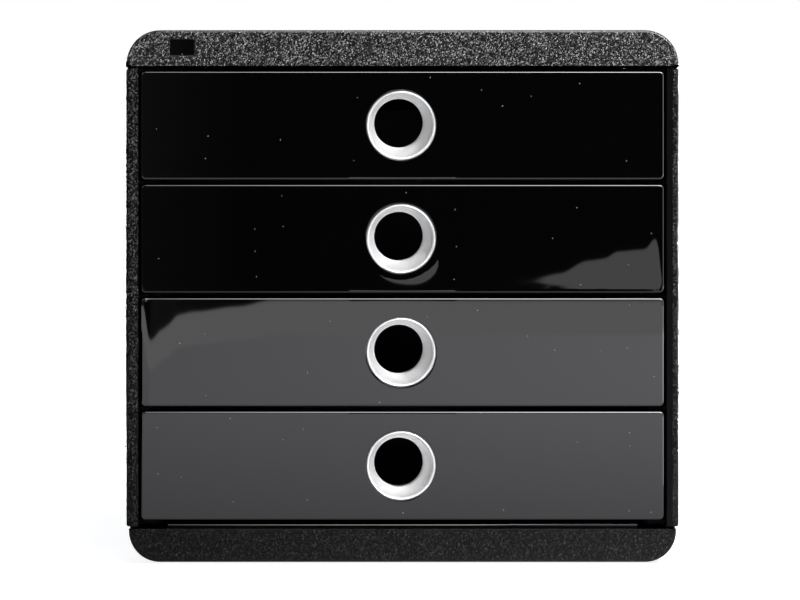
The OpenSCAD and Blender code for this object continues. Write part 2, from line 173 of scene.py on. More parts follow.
class FilingTraySettings(bpy.types.PropertyGroup):
    """Sizes and colour of the drawer trays."""

    wall: length("Wall", "Wall of a tray", 2 * MM)
    floor: length("Floor", "Floor of a tray", 2 * MM)
    bead: length("Bead", "How far the rim bead stands out", 0.8 * MM)
    bead_height: length("Bead height", "Height of the rim bead", 2.4 * MM)
    draft: length("Draft", "Draft of the sides and back", 1 * MM)
    corner: length("Corner", "Corner radius seen from above", 6 * MM)
    bottom_round: length("Bottom round", "Rounding of the lower edges", 2.6 * MM)
    half_width: length("Half width", "From the middle to the side walls at the rim", 131.2 * MM)
    lug_reach: length("Lug reach", "From the middle to a stop lug's tip", 134.4 * MM)
    lug_start: length("Lug start", "Y of a stop lug's front face", 89 * MM)
    lug_length: length("Lug length", "Length of a stop lug", 9 * MM)
    lug_height: length("Lug height", "Height of a stop lug", 12 * MM)
    rib_width: length("Rib width", "Width of the ribs under the sheets", 2.4 * MM)
    rib_height: length("Rib height", "Height of the ribs under the sheets", 0.8 * MM)
    rib_pitch: length("Rib pitch", "Spacing of the ribs under the sheets", 40 * MM)
    tint: colour("Tray colour", "Colour of the tray plastic", (0.010, 0.010, 0.0105))


class FilingStageSettings(bpy.types.PropertyGroup):
    """Where the photograph was taken from, and how the stage is lit."""

    distance: length("Distance", "From the camera to the box's front", 1.8)
    scale: amount("Scale", "Photograph pixels to a millimetre at the front", 1.9868)
    middle_x: amount("Middle across", "Photograph column of the box's middle", 402.5)
    base_row: amount("Base row", "Photograph row of the base's lower edge", 562.4)
    floor_size: length("Floor", "Side of the pale floor", 24.0)
    floor_glow: amount("Floor glow", "How bright the pale floor is by itself", 0.9)
    mirrored_glow: amount("Mirrored glow", "How bright the far floor looks in the glossy fronts", 2.1)
    room_glow: amount("Room glow", "How bright the room round the stage is", 0.012)
    bounce: amount("Bounce", "How much more light the floor throws up close to the box", 6.0)
    card_glow: amount("Card glow", "How bright the card overhead is", 16.0)


# -------------------------------------------------------------------------------- mesh helpers


def arc_points(cx, cy, r, start, end, steps):
    """Points along an arc about (cx, cy), with its angles in degrees."""
    first, span = math.radians(start), math.radians(end - start)
    angles = [first + span * i / steps for i in range(steps + 1)]
    return [(cx + r * math.cos(a), cy + r * math.sin(a)) for a in angles]


def circle_points(cx, cy, r, steps):
    """Points round a circle about (cx, cy), each of them once."""
    return arc_points(cx, cy, r, 0, 360 - 360 / steps, steps - 1)


def rounding(r, steps):
    """A quarter round: how far in and how far back each of its points lies."""
    turns = [math.radians(90 * i / steps) for i in range(steps + 1)]
    return [(r * (1 - math.sin(a)), r * (1 - math.cos(a))) for a in turns]


def upright(outline, y):
    """An outline in X and Z, stood up at y."""
    return [(x, y, z) for x, z in outline]


def rounded_loop(x0, y0, x1, y1, r, steps=8):
    """Rounded rectangle, anticlockwise, with so many steps round each corner."""
    corners = ((x1 - r, y0 + r, -90), (x1 - r, y1 - r, 0), (x0 + r, y1 - r, 90), (x0 + r, y0 + r, 180))
    return [point for cx, cy, turn in corners for point in arc_points(cx, cy, r, turn, turn + 90, steps)]


def skin(name, loops, closed=False):
    """A mesh between loops of equal length. It ends in flat faces, or joins its last loop to its first one."""
    count = len(loops[0])
    vertices = [point for loop in loops for point in loop]
    rows = len(loops) if closed else len(loops) - 1
    faces = []
    for row in range(rows):
        here, there = row * count, (row + 1) % len(loops) * count
        for i in range(count):
            j = (i + 1) % count
            faces.append((here + i, here + j, there + j, there + i))
    if not closed:
        faces.append(tuple(range(count)))
        faces.append(tuple(range(len(vertices) - count, len(vertices))))
    mesh = bpy.data.meshes.new(name)
    mesh.from_pydata(vertices, [], faces)
    face_outwards(mesh)
    return add_object(name, mesh)


def face_outwards(mesh):
    """Turns the faces of a closed mesh outwards."""
    work = bmesh.new()
    work.from_mesh(mesh)
    bmesh.ops.recalc_face_normals(work, faces=work.faces)
    work.to_mesh(mesh)
    work.free()


def add_object(name, mesh):
    """Puts a mesh in the scene at the origin."""
    piece = bpy.data.objects.new(name, mesh)
    bpy.context.scene.collection.objects.link(piece)
    return piece


def prism(name, outline, z0, z1):
    """An outline in X and Y, given height from z0 to z1."""
    return skin(name, [[(x, y, z) for x, y in outline] for z in (z0, z1)])


def block(name, low, high):
    """A plain block between two corners."""
    (x0, y0, z0), (x1, y1, z1) = low, high
    return prism(name, [(x0, y0), (x1, y0), (x1, y1), (x0, y1)], z0, z1)


def bake(piece):
    """Turns a piece with modifiers into a plain mesh."""
    bpy.context.view_layer.update()
    depsgraph = bpy.context.evaluated_depsgraph_get()
    mesh = bpy.data.meshes.new_from_object(piece.evaluated_get(depsgraph))
    old = piece.data
    piece.modifiers.clear()
    piece.data = mesh
    bpy.data.meshes.remove(old)
    mesh.name = piece.name
    return piece


def cut(piece, *tools):
    """Cuts the tools out of a piece and removes them."""
    for tool in tools:
        modifier = piece.modifiers.new("cut", "BOOLEAN")
        modifier.operation = "DIFFERENCE"
        modifier.solver = "EXACT"
        modifier.object = tool
    bake(piece)
    for tool in tools:
        bpy.data.objects.remove(tool)
    return piece


def soften(piece, width):
    """Rounds the small edges of a piece and evens out its shading."""
    bevel = piece.modifiers.new("small edges", "BEVEL")
    bevel.width = width
    bevel.segments = 2
    bevel.limit_method = "ANGLE"
    bevel.angle_limit = math.radians(35)
    bevel.harden_normals = False
    return shade(piece)


def shade(piece, angle=40.0):
    """Smooth shading, with sharp edges above an angle, and flat faces kept flat."""
    piece.data.shade_smooth()
    piece.data.set_sharp_from_angle(angle=math.radians(angle))
    even = piece.modifiers.new("even shading", "WEIGHTED_NORMAL")
    even.keep_sharp = True
    even.weight = 80
    return bake(piece)


def join(piece, *others):
    """Joins other pieces into one, as separate shells of the same mesh."""
    work = bmesh.new()
    work.from_mesh(piece.data)
    for other in others:
        work.from_mesh(other.data)
        bpy.data.objects.remove(other)
    work.to_mesh(piece.data)
    work.free()
    return piece


def copy_of_node(node, name):
    """A merged copy of a CAD node's mesh, with its flat faces whole."""
    work = bmesh.new()
    work.from_mesh(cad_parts[node].data)
    bmesh.ops.remove_doubles(work, verts=work.verts, dist=0.002 * MM)
    bmesh.ops.dissolve_limit(work, angle_limit=math.radians(0.5), verts=work.verts, edges=work.edges)
    mesh = bpy.data.meshes.new(name)
    work.to_mesh(mesh)
    work.free()
    return add_object(name, mesh)


def middle_of(node):
    """The middle of a CAD node's box: X, Y and Z."""
    return [(a + b) / 2 for a, b in zip(*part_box(node))]


def finish_piece(piece, body, slot, material, *nodes):
    """Gives a piece its finish and body, and hides the CAD nodes that it stands for."""
    piece.data.materials.clear()
    piece.data.materials.append(material)
    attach(piece, body)
    if nodes:
        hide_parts(*nodes)


# -------------------------------------------------------------------------------- repeated ribs


def rib_tree():
    """Geometry Nodes that lay out a row of equal ribs."""
    tree = bpy.data.node_groups.get("rib_row")
    if tree:
        return tree
    tree = bpy.data.node_groups.new("rib_row", "GeometryNodeTree")
    face = tree.interface
    face.new_socket("Geometry", in_out="INPUT", socket_type="NodeSocketGeometry")
    face.new_socket("Count", in_out="INPUT", socket_type="NodeSocketInt")
    for name in ("Start", "Step", "Size"):
        face.new_socket(name, in_out="INPUT", socket_type="NodeSocketVector")
    face.new_socket("Material", in_out="INPUT", socket_type="NodeSocketMaterial")
    face.new_socket("Geometry", in_out="OUTPUT", socket_type="NodeSocketGeometry")
    add = tree.nodes.new
    source, result = add("NodeGroupInput"), add("NodeGroupOutput")
    line, rib, place = add("GeometryNodeMeshLine"), add("GeometryNodeMeshCube"), add("GeometryNodeInstanceOnPoints")
    real, paint = add("GeometryNodeRealizeInstances"), add("GeometryNodeSetMaterial")
    for a, b in (
        (source.outputs["Count"], line.inputs["Count"]),
        (source.outputs["Start"], line.inputs["Start Location"]),
        (source.outputs["Step"], line.inputs["Offset"]),
        (source.outputs["Size"], rib.inputs["Size"]),
        (line.outputs["Mesh"], place.inputs["Points"]),
        (rib.outputs["Mesh"], place.inputs["Instance"]),
        (place.outputs["Instances"], real.inputs["Geometry"]),
        (real.outputs["Geometry"], paint.inputs["Geometry"]),
        (source.outputs["Material"], paint.inputs["Material"]),
        (paint.outputs["Geometry"], result.inputs["Geometry"]),
    ):
        tree.links.new(a, b)
    return tree


def rib_row(name, count, start, step, size, material):
    """A row of equal ribs: count of them, the first one's middle at start, step apart."""
    piece = add_object(name, bpy.data.meshes.new(name))
    modifier = piece.modifiers.new("ribs", "NODES")
    tree = rib_tree()
    modifier.node_group = tree
    values = {"Count": count, "Start": start, "Step": step, "Size": size, "Material": material}
    for item in tree.interface.items_tree:
        if item.in_out == "INPUT" and item.name in values:
            modifier[item.identifier] = values[item.name]
    return bake(piece)


# -------------------------------------------------------------------------------- finishes


def new_group(name, inputs, outputs):
    """A shader node group with named inputs and outputs."""
    group = bpy.data.node_groups.new(name, "ShaderNodeTree")
    for label, kind, value in inputs:
        socket = group.interface.new_socket(label, in_out="INPUT", socket_type=kind)
        socket.default_value = value
    for label, kind in outputs:
        group.interface.new_socket(label, in_out="OUTPUT", socket_type=kind)
    return group, group.nodes.new("NodeGroupInput"), group.nodes.new("NodeGroupOutput")


def new_node(tree, kind):
    """A new shader node."""
    return tree.nodes.new("ShaderNode" + kind)


def feed(tree, sockets, values):
    """Links or sets each socket by its value, which is another socket or a plain one. None leaves it as it is."""
    for socket, value in zip(sockets, values):
        if isinstance(value, bpy.types.NodeSocket):
            tree.links.new(value, socket)
        elif value is not None:
            socket.default_value = value


def math_node(tree, operation, a, b=None):
    """A Math node whose inputs are sockets or plain numbers."""
    node = new_node(tree, "Math")
    node.operation = operation
    feed(tree, node.inputs, (a, b))
    return node.outputs[0]


def vector_node(tree, operation, a, b=None, scale=None):
    """A Vector Math node whose inputs are sockets or plain values."""
    node = new_node(tree, "VectorMath")
    node.operation = operation
    feed(tree, (node.inputs[0], node.inputs[1], node.inputs[3]), (a, b, scale))
    return node.outputs["Value" if operation == "LENGTH" else "Vector"]


def split_node(tree, kind, value):
    """The parts of a vector (kind XYZ) or of a colour (kind Color), by name."""
    node = new_node(tree, "Separate" + kind)
    tree.links.new(value, node.inputs[0])
    return node.outputs


def object_place(tree):
    """The Object coordinates."""
    return new_node(tree, "TexCoord").outputs["Object"]


def map_range(tree, value, low, high, to_low, to_high):
    """A clamped Map Range node."""
    node = new_node(tree, "MapRange")
    feed(tree, [node.inputs[label] for label in ("Value", "From Min", "From Max", "To Min", "To Max")],
         (value, low, high, to_low, to_high))
    return node.outputs["Result"]


def grain_group():
    """Moulded grain: rounded pebbles of one size, each with a facing and a shade of its own, and finer grit."""
    name = "moulded_grain"
    if name in bpy.data.node_groups:
        return bpy.data.node_groups[name]
    group, source, result = new_group(
        name,
        [("Grains per Metre", "NodeSocketFloat", 1300.0), ("Grit", "NodeSocketFloat", 0.35),
         ("Tilt", "NodeSocketFloat", 0.0)],
        [("Height", "NodeSocketFloat"), ("Hollow", "NodeSocketFloat"), ("Shade", "NodeSocketFloat"),
         ("Facing", "NodeSocketVector")],
    )
    grains, place = source.outputs["Grains per Metre"], object_place(group)
    pebble, facet, grit = (new_node(group, kind) for kind in ("TexVoronoi", "TexVoronoi", "TexNoise"))
    pebble.feature = "SMOOTH_F1"
    pebble.inputs["Smoothness"].default_value = 0.35
    grit.inputs["Detail"].default_value = 2.0
    for texture, scale in ((pebble, grains), (facet, grains), (grit, math_node(group, "MULTIPLY", grains, 1.7))):
        feed(group, (texture.inputs["Vector"], texture.inputs["Scale"]), (place, scale))
    dome = math_node(group, "SUBTRACT", 1.0, pebble.outputs["Distance"])
    rough = math_node(group, "MULTIPLY", grit.outputs["Fac"], source.outputs["Grit"])
    hollow = map_range(group, pebble.outputs["Distance"], 0.35, 0.75, 0.0, 1.0)
    lean = vector_node(group, "SUBTRACT", facet.outputs["Color"], (0.5, 0.5, 0.5))
    lean = vector_node(group, "SCALE", lean, scale=source.outputs["Tilt"])
    leaned = vector_node(group, "ADD", new_node(group, "NewGeometry").outputs["Normal"], lean)
    feed(group, [result.inputs[label] for label in ("Height", "Hollow", "Shade", "Facing")],
         (math_node(group, "ADD", dome, rough), hollow, split_node(group, "Color", facet.outputs["Color"])[2],
          vector_node(group, "NORMALIZE", leaned)))
    return group


def speck_group():
    """Scattered dust specks: a mask that is 1 on each speck."""
    name = "dust_specks"
    if name in bpy.data.node_groups:
        return bpy.data.node_groups[name]
    group, source, result = new_group(
        name,
        [("Specks per Metre", "NodeSocketFloat", 90.0), ("Share", "NodeSocketFloat", 0.25),
         ("Speck Size", "NodeSocketFloat", 0.02)],
        [("Mask", "NodeSocketFloat")],
    )
    place = split_node(group, "XYZ", object_place(group))
    flat, cells = new_node(group, "CombineXYZ"), new_node(group, "TexVoronoi")
    cells.voronoi_dimensions = "2D"
    feed(group, (flat.inputs["X"], flat.inputs["Y"]), (place["X"], math_node(group, "ADD", place["Y"], place["Z"])))
    feed(group, (cells.inputs["Vector"], cells.inputs["Scale"]),
         (flat.outputs[0], source.outputs["Specks per Metre"]))
    near = math_node(group, "LESS_THAN", cells.outputs["Distance"], source.outputs["Speck Size"])
    pick = split_node(group, "Color", cells.outputs["Color"])[0]
    some = math_node(group, "LESS_THAN", pick, source.outputs["Share"])
    group.links.new(math_node(group, "MULTIPLY", near, some), result.inputs["Mask"])
    return group


def mottle_group():
    """Slow, cloudy variation between 0 and 1."""
    name = "slow_mottle"
    if name in bpy.data.node_groups:
        return bpy.data.node_groups[name]
    group, source, result = new_group(
        name,
        [("Clouds per Metre", "NodeSocketFloat", 20.0), ("Detail", "NodeSocketFloat", 3.0)],
        [("Value", "NodeSocketFloat")],
    )
    cloud = new_node(group, "TexNoise")
    feed(group, [cloud.inputs[label] for label in ("Vector", "Scale", "Detail")],
         (object_place(group), source.outputs["Clouds per Metre"], source.outputs["Detail"]))
    group.links.new(map_range(group, cloud.outputs["Fac"], 0.3, 0.7, 0.0, 1.0), result.inputs["Value"])
    return group


def start_material(name, tint, roughness, **sockets):
    """A new material with its Principled shader set, and that shader."""
    material = bpy.data.materials.new(name)
    material.use_nodes = True
    shader = material.node_tree.nodes["Principled BSDF"]
    shader.inputs["Base Color"].default_value = (*tint, 1.0)
    shader.inputs["Roughness"].default_value = roughness
    for label, value in sockets.items():
        shader.inputs[label.replace("_", " ")].default_value = value
    return material, shader


def place_group(tree, group, **values):
    """A group node with its inputs set."""
    node = new_node(tree, "Group")
    node.node_tree = group
    for label, value in values.items():
        node.inputs[label.replace("_", " ")].default_value = value
    return node


def mottled(tree, clouds, low, high, **values):
    """A slow, cloudy value between low and high."""
    mottle = place_group(tree, mottle_group(), Clouds_per_Metre=clouds, **values)
    return map_range(tree, mottle.outputs["Value"], 0.0, 1.0, low, high)


def bump_into(tree, shader, height, distance, strength, below=None):
    """A Bump node from a height into the shader's normal, over another normal if there is one."""
    bump = new_node(tree, "Bump")
    feed(tree, [bump.inputs[label] for label in ("Strength", "Distance", "Height", "Normal")],
         (strength, distance, height, below))
    tree.links.new(bump.outputs["Normal"], shader.inputs["Normal"])


def mix_colour(tree, factor, a, b):
    """A colour between a and b, by a factor socket. Either colour may be a socket."""
    node = new_node(tree, "Mix")
    node.data_type = "RGBA"
    a, b = (value if isinstance(value, bpy.types.NodeSocket) else (*value, 1.0) for value in (a, b))
    feed(tree, (node.inputs[0], node.inputs[6], node.inputs[7]), (factor, a, b))
    return node.outputs[2]


# The grained plastic: its least and greatest roughness, how much rougher it is between its grains, how deep they are,
# how much of their painted glints and lean is left at the box's foot as a painted fall-off of the light from above,
# and how rare the pale grains are, which are painted glints
GRAIN_ROUGH, HOLLOW_ROUGH, GRAIN_DEPTH, FOOT_GLINT_SHARE, GLINT_POWER = (0.20, 0.27), 0.15, 0.18 * MM, 0.3, 7.0
# Over this width the painted glints of the right panel's flat edge die away into its bevel, which is left dark as
# painted shade
BEVEL_FADE = 0.2 * MM


def painted_light_reach(tree, moulding, settings):
    """How much of the grain's painted glints and lean is left: less low down, a painted fall-off of the light from
    above, and none on the bevel inside the right panel's edge, painted shade where that bevel faces away from the
    light.

    A known fault: depth doesn't count here, so the right half of the back panel loses its glitter as well.
    """
    place = split_node(tree, "XYZ", object_place(tree))
    # Fewer painted glints and a paler ground low down: painted fall-off of the overhead light and painted floor light
    painted_reach = map_range(tree, place["Z"], 0.0, COVER_LOW.z, FOOT_GLINT_SHARE, 1.0)
    if moulding == "panel":
        edge = BOX_HIGH.x - settings.panel_flat
        outside = map_range(tree, place["X"], edge - BEVEL_FADE, edge, 0.0, 1.0)
        elsewhere = map_range(tree, place["X"], 0.0, edge / 2, 1.0, 0.0)
        painted_reach = math_node(tree, "MULTIPLY", painted_reach, math_node(tree, "MAXIMUM", outside, elsewhere))
    return painted_reach


def grained_black(moulding):
    """Grained black plastic of the cover, the panels or the base. Its pale grains are painted glints, and each part
    has its own lean, shine and painted glints, palest on the cover.
    """
    name = f"grained_{moulding}"
    found = bpy.data.materials.get(name)
    if found:
        return found
    settings = bpy.context.scene.filing_housing
    tint = settings.tint
    tilt, shine, painted_glint = (getattr(settings, f"{moulding}_{kind}") for kind in ("tilt", "shine", "painted_glint"))
    material, shader = start_material(name, tint, 0.36, Specular_IOR_Level=shine)
    tree = material.node_tree
    painted_reach = painted_light_reach(tree, moulding, settings)
    grain = place_group(tree, grain_group(), Grains_per_Metre=1 / settings.grain)
    # Pale grains: painted glints, fewer low down and none on the right panel's bevel
    glint_mask = math_node(tree, "MULTIPLY", math_node(tree, "POWER", grain.outputs["Shade"], GLINT_POWER), painted_reach)
    # Paler ground near the foot: painted floor light
    ground = mix_colour(tree, painted_reach, settings.foot_lit_tint, tint)
    rough = math_node(tree, "ADD", mottled(tree, 35.0, *GRAIN_ROUGH),
                      math_node(tree, "MULTIPLY", grain.outputs["Hollow"], HOLLOW_ROUGH))
    feed(tree, (grain.inputs["Tilt"], shader.inputs["Base Color"], shader.inputs["Roughness"]),
         (math_node(tree, "MULTIPLY", painted_reach, tilt), mix_colour(tree, glint_mask, ground, [painted_glint] * 3), rough))
    bump_into(tree, shader, grain.outputs["Height"], GRAIN_DEPTH, 0.8, below=grain.outputs["Facing"])
    if moulding == "cover":
        shader.inputs["Coat Weight"].default_value = settings.cover_coat
        shader.inputs["Coat Roughness"].default_value = 0.12
    return material


def polished_black(name="polished_black", shine=0.5):
    """High-gloss black plastic of the drawer fronts, with a little dust."""
    found = bpy.data.materials.get(name)
    if found:
        return found
    tint = bpy.context.scene.filing_front.tint
    material, shader = start_material(name, tint, 0.01, IOR=1.5, Specular_IOR_Level=shine)
    tree = material.node_tree
    dust = place_group(tree, speck_group(), Specks_per_Metre=80.0, Share=0.2, Speck_Size=0.02).outputs["Mask"]
    rough = math_node(tree, "ADD", mottled(tree, 9.0, 0.008, 0.015, Detail=1.0),
                      math_node(tree, "MULTIPLY", dust, 0.5))
    feed(tree, (shader.inputs["Base Color"], shader.inputs["Roughness"]),
         (mix_colour(tree, dust, tint, (0.10, 0.10, 0.10)), rough))
    return material


def fine_grain(material, shader, grains, clouds, rough, depth, strength, **values):
    """Gives a material fine grain, so many to a metre, and a cloudy roughness. Returns the grain's node."""
    tree = material.node_tree
    grain = place_group(tree, grain_group(), Grains_per_Metre=grains, **values)
    tree.links.new(mottled(tree, clouds, *rough), shader.inputs["Roughness"])
    bump_into(tree, shader, grain.outputs["Height"], depth, strength)
    return grain


def tray_black():
    """Satin black plastic of the drawer trays."""
    found = bpy.data.materials.get("tray_black")
    if found:
        return found
    material, shader = start_material("tray_black", bpy.context.scene.filing_tray.tint, 0.38)
    fine_grain(material, shader, grains=2600.0, clouds=14.0, rough=(0.32, 0.46), depth=0.03 * MM, strength=0.6,
               Grit=0.6)
    return material


def satin_silver():
    """Satin silver coat of the finger rings, with painted shade in its fine grain's hollows."""
    found = bpy.data.materials.get("satin_silver")
    if found:
        return found
    tint = bpy.context.scene.filing_ring.tint
    material, shader = start_material("satin_silver", tint, 0.36, Metallic=0.5)
    grain = fine_grain(material, shader, grains=3200.0, clouds=160.0, rough=(0.33, 0.42), depth=0.03 * MM,
                       strength=0.5, Grit=0.8)
    # Darker in the fine grain's hollows: painted shade
    hollow_shade = mix_colour(material.node_tree, grain.outputs["Hollow"], tint, [c * 0.86 for c in tint])
    material.node_tree.links.new(hollow_shade, shader.inputs["Base Color"])
    return material


def foot_rubber():
    """Matte black rubber of the feet."""
    found = bpy.data.materials.get("foot_rubber")
    if found:
        return found
    material, shader = start_material("foot_rubber", (0.014, 0.014, 0.014), 0.75)
    fine_grain(material, shader, grains=2200.0, clouds=120.0, rough=(0.68, 0.85), depth=0.05 * MM, strength=0.6)
    return material


# -------------------------------------------------------------------------------- cover and base


# Steps round a large corner of the cover or base, and round its front and back edges
CORNER_STEPS, EDGE_STEPS = 20, 5


def shell_loop(half, low, high, corner, inset, y, up):
    """Outline of a cover seen from the front, at y: round at the top, or at the foot for a base."""
    top, foot = (high, low) if up > 0 else (low, high)
    level, r = top - up * corner, corner - inset
    right = arc_points(half - corner, level, r, 0, 90 * up, CORNER_STEPS)
    left = arc_points(-half + corner, level, r, 90 * up, 180 * up, CORNER_STEPS)
    return upright([(half - inset, foot), *right, *left, (-half + inset, foot)], y)


def make_shell(name, low, high, corner, settings, up):
    """A moulded cover (up is 1) or base (up is -1) with rounded edges, open on its flat side."""
    half, wall = high.x, settings.wall
    profile = rounding(settings.edge_round, EDGE_STEPS)
    loops = [shell_loop(half, low.z, high.z, corner, inset, low.y + depth, up) for depth, inset in reversed(profile)]
    loops += [shell_loop(half, low.z, high.z, corner, inset, high.y - depth, up) for depth, inset in profile]
    shell = skin(name, loops)
    inner_low, inner_high = (low.z - wall, high.z) if up > 0 else (low.z, high.z + wall)
    tool = skin("inside", [shell_loop(half, inner_low, inner_high, corner, wall, y, up)
                           for y in (low.y + wall, high.y - wall)])
    return cut(shell, tool)


# How round the lip's crest is along it: share of the way from the middle to its end, and share of its rounding.
# Its foot lies this far in front of the base's inner face
LIP_CREST = ((-1, 0.8), (-0.85, 0.9), (-0.6, 1), (0.3, 1), (0.45, 0.7), (0.6, 0.4), (0.7, 0.15), (1, 0.15))
LIP_FOOT = 0.2 * MM


def make_lip(settings):
    """The upright lip behind the base's front edge: it leans out over its foot, and its smooth crest is rounded."""
    end, back, top = settings.lip_half, BASE_LOW.y + settings.wall, BASE_HIGH.z
    foot = top - settings.lip_height
    root = foot - settings.wall / 2
    loops = []
    for across, share in LIP_CREST:
        r = settings.lip_round * share
        crest = arc_points(back - settings.lip_wall + r, top - r, r, 90, 180, 8)
        outline = [(back, root), (back, top), *crest, (back - LIP_FOOT, foot), (back - LIP_FOOT, root)]
        loops.append([(across * end, y, z) for y, z in outline])
    return shade(skin("base_lip", loops))


# Corner radius of the badge recess and of the plate in it, the play round the plate, how far it stands up and the
# rounding of its edge
BADGE_CORNER, PLATE_CORNER, PLATE_GAP, PLATE_UP, PLATE_EDGE = 0.8 * MM, 0.6 * MM, 0.25 * MM, 0.25 * MM, 0.2 * MM


def badge_tool(settings):
    """What is cut out of the cover's front for the bare badge recess."""
    x = COVER_LOW.x + settings.badge_in
    z = COVER_HIGH.z - settings.badge_down
    outline = rounded_loop(x, z - settings.badge_height, x + settings.badge_width, z, BADGE_CORNER, 4)
    ends = (COVER_LOW.y - settings.wall, COVER_LOW.y + settings.badge_depth)
    return skin("badge", [upright(outline, y) for y in ends])


def cross_ribs(name, half, roof, up, settings, material):
    """The ribs under a cover's roof: a row of cross ribs and two long ones, joined into one piece."""
    depth = COVER_HIGH.y - settings.wall
    rows = int((depth - settings.rib) / settings.rib_pitch)
    level = roof - up * settings.rib_height / 2
    across = rib_row(name, 2 * rows + 1, (0, -rows * settings.rib_pitch, level), (0, settings.rib_pitch, 0),
                     (2 * half, settings.rib, settings.rib_height), material)
    along = rib_row(name + "_long", 2, (-half / 2, 0, level), (half, 0, 0),
                    (settings.rib, 2 * depth, settings.rib_height), material)
    return join(across, along)


def badge_plate(settings):
    """The bare, smooth plate in the badge recess, with rounded edges."""
    gap, edge = PLATE_GAP, PLATE_EDGE
    x, z = COVER_LOW.x + settings.badge_in, COVER_HIGH.z - settings.badge_down
    front = COVER_LOW.y + settings.badge_depth - PLATE_UP
    loops = []
    for y, inset in ((front, gap + edge), (front + edge * 0.3, gap + edge * 0.3), (front + edge, gap),
                     (front + PLATE_UP + 0.1 * MM, gap)):
        outline = rounded_loop(x + inset, z - settings.badge_height + inset, x + settings.badge_width - inset,
                               z - inset, PLATE_CORNER, 4)
        loops.append(upright(outline, y))
    return shade(skin("bare_badge_plate", loops), 50.0)


class FilingAddCovers(bpy.types.Operator):
    """Adds the grained top cover and base, with their ribs"""

    bl_idname = "filing.add_covers"
    bl_label = "Add cover and base"

    def execute(self, context):
        """Builds the cover, its badge plate, the base, its lip and their ribs."""
        settings = context.scene.filing_housing
        plastic, base_plastic = grained_black("cover"), grained_black("base")
        cover = make_shell("cover_shell", COVER_LOW, COVER_HIGH, settings.cover_corner, settings, 1)
        cut(cover, badge_tool(settings))
        soften(cover, settings.moulded_edge)
        finish_piece(cover, "housing", "housing", plastic, "top_cover")
        finish_piece(badge_plate(settings), "housing", "front_gloss", polished_black())
        base_top = BASE_HIGH - Vector((0, 0, settings.lip_height))
        base = make_shell("base_shell", BASE_LOW, base_top, settings.base_corner, settings, -1)
        soften(base, settings.moulded_edge)
        finish_piece(base, "housing", "housing", base_plastic, "base_cover")
        finish_piece(make_lip(settings), "housing", "front_gloss", polished_black())
        cover_ribs = cross_ribs("cover_ribs", COVER_HIGH.x - settings.cover_corner,
                                COVER_HIGH.z - settings.wall, 1, settings, plastic)
        finish_piece(cover_ribs, "housing", "housing", plastic)
        base_ribs = cross_ribs("base_ribs", BASE_HIGH.x - settings.base_corner,
                               BASE_LOW.z + settings.wall, -1, settings, base_plastic)
        finish_piece(base_ribs, "housing", "housing", base_plastic)
        return {"FINISHED"}


# -------------------------------------------------------------------------------- panels and feet


class FilingAddPanels(bpy.types.Operator):
    """Adds the side panels with their runner ledges, and the back panel"""

    bl_idname = "filing.add_panels"
    bl_label = "Add panels"

    def execute(self, context):
        """Builds the three panels from their solids."""
        settings = context.scene.filing_housing
        for node in ("side_panel_left", "side_panel_right", "back_panel"):
            panel = copy_of_node(node, node + "_moulded")
            if node != "back_panel":
                cut(panel, *self.gap_tools(node, settings))
            soften(panel, settings.moulded_edge)
            finish_piece(panel, "housing", "housing", grained_black("panel"), node)
        return {"FINISHED"}

    def gap_tools(self, node, settings):
        """What deepens the shadow gaps over and under a panel, at its front end."""
        edges = (BOX_HIGH.x - settings.panel_edge, BOX_HIGH.x + MM)
        left, right = edges if node == "side_panel_right" else (-edges[1], -edges[0])
        front, base_top = BOX_LOW.y, BASE_HIGH.z - settings.lip_height
        rows = ((base_top - MM, base_top + settings.gap), (COVER_LOW.z - settings.gap, COVER_LOW.z + MM))
        return [block("gap", (left, front - MM, low), (right, front + settings.gap_depth, high))
                for low, high in rows]


# The dish under a foot: shares of the foot's radius and of its lower edge's rounding
PAD_DISH = ((0.3, 0.8), (0.55, 0.55), (0.68, 0))


class FilingAddFeet(bpy.types.Operator):
    """Adds the four rubber feet"""

    bl_idname = "filing.add_feet"
    bl_label = "Add feet"

    def execute(self, context):
        """Builds each foot."""
        for end in ("front", "back"):
            for side in ("left", "right"):
                node = f"foot_{end}_{side}"
                foot = self.make_foot(node)
                finish_piece(foot, "housing", "foot_rubber", foot_rubber(), node)
        return {"FINISHED"}

    def make_foot(self, node):
        """A turned pad with a rounded lower edge and a shallow dish underneath."""
        low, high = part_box(node)
        x, y, _ = middle_of(node)
        r, edge = (high.x - low.x) / 2, (high.z - low.z) / 4
        outline = [(r * out, low.z + edge * rise) for out, rise in PAD_DISH] + [(r - edge, low.z)]
        outline += arc_points(r - edge, low.z + edge, edge, -60, 0, 4) + [(r, high.z)]
        loops = [[(px, py, level) for px, py in circle_points(x, y, radius, 64)] for radius, level in outline]
        return shade(skin(node + "_pad", loops))


# -------------------------------------------------------------------------------- drawer fronts

# The moulded fronts aren't quite flat. By drawer and side, the face leans by these amounts at these distances from
# the middle: (metres, thousandths). A positive lean faces up.
LEANS = {
    (2, 1): ((0.0255, 0), (0.045, -1.2), (0.061, -2.6), (0.079, -3.7), (0.093, -5.5), (0.102, -5.8), (0.108, -6.8),
             (0.122, -7.1), (0.1275, -8.7), (0.129, -7.5), (0.1302, -3), (0.13175, -2)),
    (3, -1): ((0.066, 0), (0.083, 0.9), (0.105, 1.6), (0.114, 2.1), (0.1165, 3.2), (0.121, 4.1), (0.127, 5.7),
              (0.1285, 5), (0.1295, 1.5), (0.13175, 0)),
}
# Round the ring of drawer 2 the face has a low swelling: slope all round, more slope at the lower right, where that
# is, how narrow it is, the swelling's radius, and how fast it dies away outwards and inwards
SWELLING = {2: (0.0055, 0.0185, math.radians(-38), 8, 20.3 * MM, 2.5 * MM, 1.2 * MM)}
# What the leans are given in
THOUSANDTH = 0.001
# The lean dies away over this distance above the lower edge
LEAN_FADE = 7 * MM
